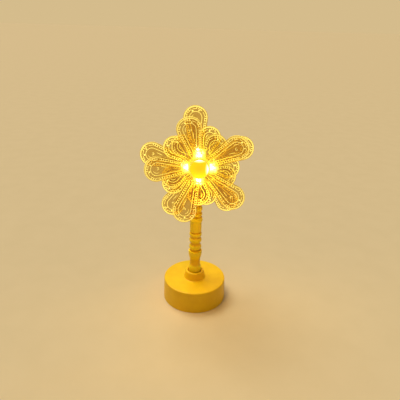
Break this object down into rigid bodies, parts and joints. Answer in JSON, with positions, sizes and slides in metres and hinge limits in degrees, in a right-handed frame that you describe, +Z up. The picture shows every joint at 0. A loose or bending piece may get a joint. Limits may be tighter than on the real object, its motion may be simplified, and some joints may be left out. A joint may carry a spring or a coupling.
{
  "type": "table lamp",
  "caption": "Battery table lamp: round base, turned stem and a flower of engraved clear acrylic petal sheets that turn on a lit core.",
  "frame": {"origin": "centre of the base's foot, on the table", "axes": "+Z up the stem, the flower faces -Y, +X to the right seen from the front"},
  "size_m": [0.1132, 0.0861, 0.223],
  "materials": {
    "ivory_plastic": "satin moulded",
    "shade_plastic": "fine moulded texture",
    "acrylic": "clear polished, engraved lines",
    "steel": "plated",
    "switch_plastic": "moulded",
    "cell_wrap": "printed sleeve, bare",
    "led_lens": "clear epoxy, lit",
    "board": "solder mask",
    "wire": "insulation",
    "resistor_body": "lacquered"
  },
  "bodies": {
    "root": {"base_shell": "ivory_plastic", "base_plate": "shade_plastic", "base_screws": "steel", "cell_front": "cell_wrap", "cell_middle": "cell_wrap", "cell_rear": "cell_wrap", "contact_springs": "steel", "contact_plates": "steel", "switch_frame": "steel", "switch_body": "switch_plastic", "switch_terminals": "steel", "switch_screws": "steel", "resistor": "resistor_body", "lead_wires": "wire", "stem_lower": "ivory_plastic", "stem_upper": "ivory_plastic", "head_bracket": "ivory_plastic", "lamp_core": "shade_plastic", "led_board": "board", "led_ring": "shade_plastic", "leds": "led_lens", "spacer_rear": "shade_plastic", "spacer_front": "shade_plastic", "front_cap": "ivory_plastic"},
    "rear_large_petals": {"rear_large_petals": "acrylic"},
    "rear_medium_petals": {"rear_medium_petals": "acrylic"},
    "front_large_petals": {"front_large_petals": "acrylic"},
    "front_medium_petals": {"front_medium_petals": "acrylic"},
    "switch_knob": {"switch_knob": "switch_plastic"},
    "battery_door": {"battery_door": "shade_plastic"}
  },
  "joints": [
    {"name": "rear_large_turn", "type": "hinge", "parent": "root", "child": "rear_large_petals", "pos_m": [0, 0, 0.163], "axis": [0, -0.9925, 0.1219], "continuous": true},
    {"name": "rear_medium_turn", "type": "hinge", "parent": "root", "child": "rear_medium_petals", "pos_m": [0, 0, 0.163], "axis": [0, -0.9925, 0.1219], "continuous": true},
    {"name": "front_large_turn", "type": "hinge", "parent": "root", "child": "front_large_petals", "pos_m": [0, 0, 0.163], "axis": [0, -0.9925, 0.1219], "continuous": true},
    {"name": "front_medium_turn", "type": "hinge", "parent": "root", "child": "front_medium_petals", "pos_m": [0, 0, 0.163], "axis": [0, -0.9925, 0.1219], "continuous": true},
    {"name": "switch_slide", "type": "slide", "parent": "root", "child": "switch_knob", "axis": [1, 0, 0], "range_m": [-0.0034, 0]},
    {"name": "door_lift_off", "type": "slide", "parent": "root", "child": "battery_door", "axis": [0, 0, -1], "range_m": [0, 0.01]}
  ]
}
